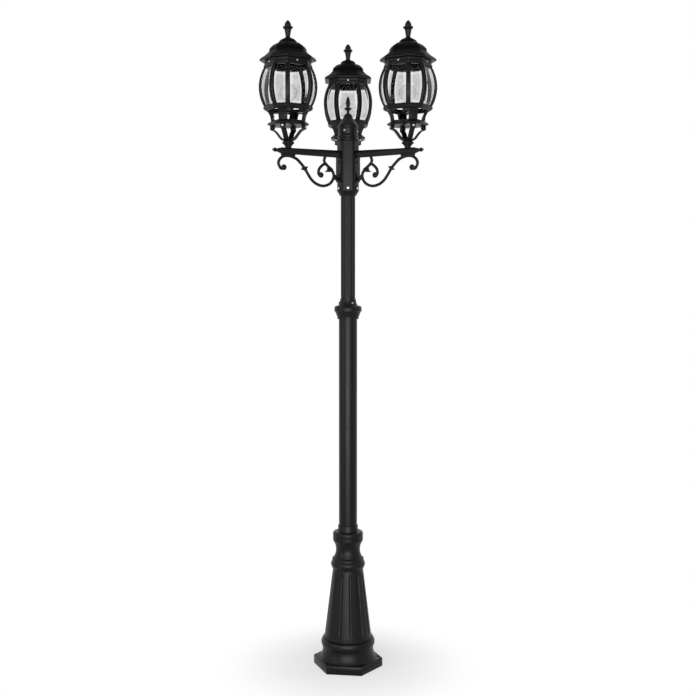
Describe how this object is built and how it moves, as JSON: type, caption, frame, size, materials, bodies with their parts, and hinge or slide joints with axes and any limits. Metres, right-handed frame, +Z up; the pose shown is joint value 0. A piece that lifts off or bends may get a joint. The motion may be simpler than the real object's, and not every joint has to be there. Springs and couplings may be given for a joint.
{
  "type": "triple head lamp post",
  "caption": "Garden lamp post with a fluted hexagonal-footed base, two-part pole and glazed octagonal lanterns on scrolled arms.",
  "frame": {"origin": "on the pole's axis, at ground level, in the centre of the anchor bolt circle", "axes": "+Z up the pole; one arm points along +Y, the other two towards the front left and the front right"},
  "size_m": [0.612, 0.5456, 2.3],
  "materials": {
    "black_casting": "satin",
    "black_pole": "satin",
    "pane_glass": "gloss",
    "bulb_glass": "gloss",
    "cap_metal": "satin",
    "holder_plastic": "matte",
    "screw_steel": "satin"
  },
  "bodies": {
    "post": {"base_foot": "black_casting", "base_shaft": "black_casting", "base_coupling": "black_casting", "lower_pole": "black_pole", "coupling_collar": "black_casting", "collar_screws": "screw_steel", "upper_pole": "black_pole", "hub": "black_casting", "hub_screws": "screw_steel", "hub_cap": "black_casting", "cap_screws": "screw_steel", "hub_finial": "black_casting", "left_arm": "black_casting", "left_arm_screws": "screw_steel", "left_scroll": "black_casting", "left_neck": "black_casting", "left_crown": "black_casting", "left_foot_screws": "screw_steel", "left_bridge": "black_casting", "left_lampholder": "holder_plastic", "left_ribs": "black_casting", "left_panes": "pane_glass", "left_cage_ring": "black_casting", "right_arm": "black_casting", "right_arm_screws": "screw_steel", "right_scroll": "black_casting", "right_neck": "black_casting", "right_crown": "black_casting", "right_foot_screws": "screw_steel", "right_bridge": "black_casting", "right_lampholder": "holder_plastic", "right_ribs": "black_casting", "right_panes": "pane_glass", "right_cage_ring": "black_casting", "rear_arm": "black_casting", "rear_arm_screws": "screw_steel", "rear_scroll": "black_casting", "rear_neck": "black_casting", "rear_crown": "black_casting", "rear_foot_screws": "screw_steel", "rear_bridge": "black_casting", "rear_lampholder": "holder_plastic", "rear_ribs": "black_casting", "rear_panes": "pane_glass", "rear_cage_ring": "black_casting"},
    "left_roof_body": {"left_roof": "black_casting", "left_roof_screws": "screw_steel", "left_roof_finial": "black_casting"},
    "left_bulb_body": {"left_bulb_cap": "cap_metal", "left_bulb_glass": "bulb_glass"},
    "right_roof_body": {"right_roof": "black_casting", "right_roof_screws": "screw_steel", "right_roof_finial": "black_casting"},
    "right_bulb_body": {"right_bulb_cap": "cap_metal", "right_bulb_glass": "bulb_glass"},
    "rear_roof_body": {"rear_roof": "black_casting", "rear_roof_screws": "screw_steel", "rear_roof_finial": "black_casting"},
    "rear_bulb_body": {"rear_bulb_cap": "cap_metal", "rear_bulb_glass": "bulb_glass"}
  },
  "joints": [
    {"name": "left_roof_lift", "type": "slide", "parent": "post", "child": "left_roof_body", "axis": [0, 0, 1], "range_m": [0, 0.12]},
    {"name": "left_bulb_turn", "type": "hinge", "parent": "post", "child": "left_bulb_body", "pos_m": [-0.20611, -0.119, 2], "axis": [0, 0, 1], "continuous": true},
    {"name": "right_roof_lift", "type": "slide", "parent": "post", "child": "right_roof_body", "axis": [0, 0, 1], "range_m": [0, 0.12]},
    {"name": "right_bulb_turn", "type": "hinge", "parent": "post", "child": "right_bulb_body", "pos_m": [0.20611, -0.119, 2], "axis": [0, 0, 1], "continuous": true},
    {"name": "rear_roof_lift", "type": "slide", "parent": "post", "child": "rear_roof_body", "axis": [0, 0, 1], "range_m": [0, 0.12]},
    {"name": "rear_bulb_turn", "type": "hinge", "parent": "post", "child": "rear_bulb_body", "pos_m": [0, 0.238, 2], "axis": [0, 0, 1], "continuous": true}
  ]
}
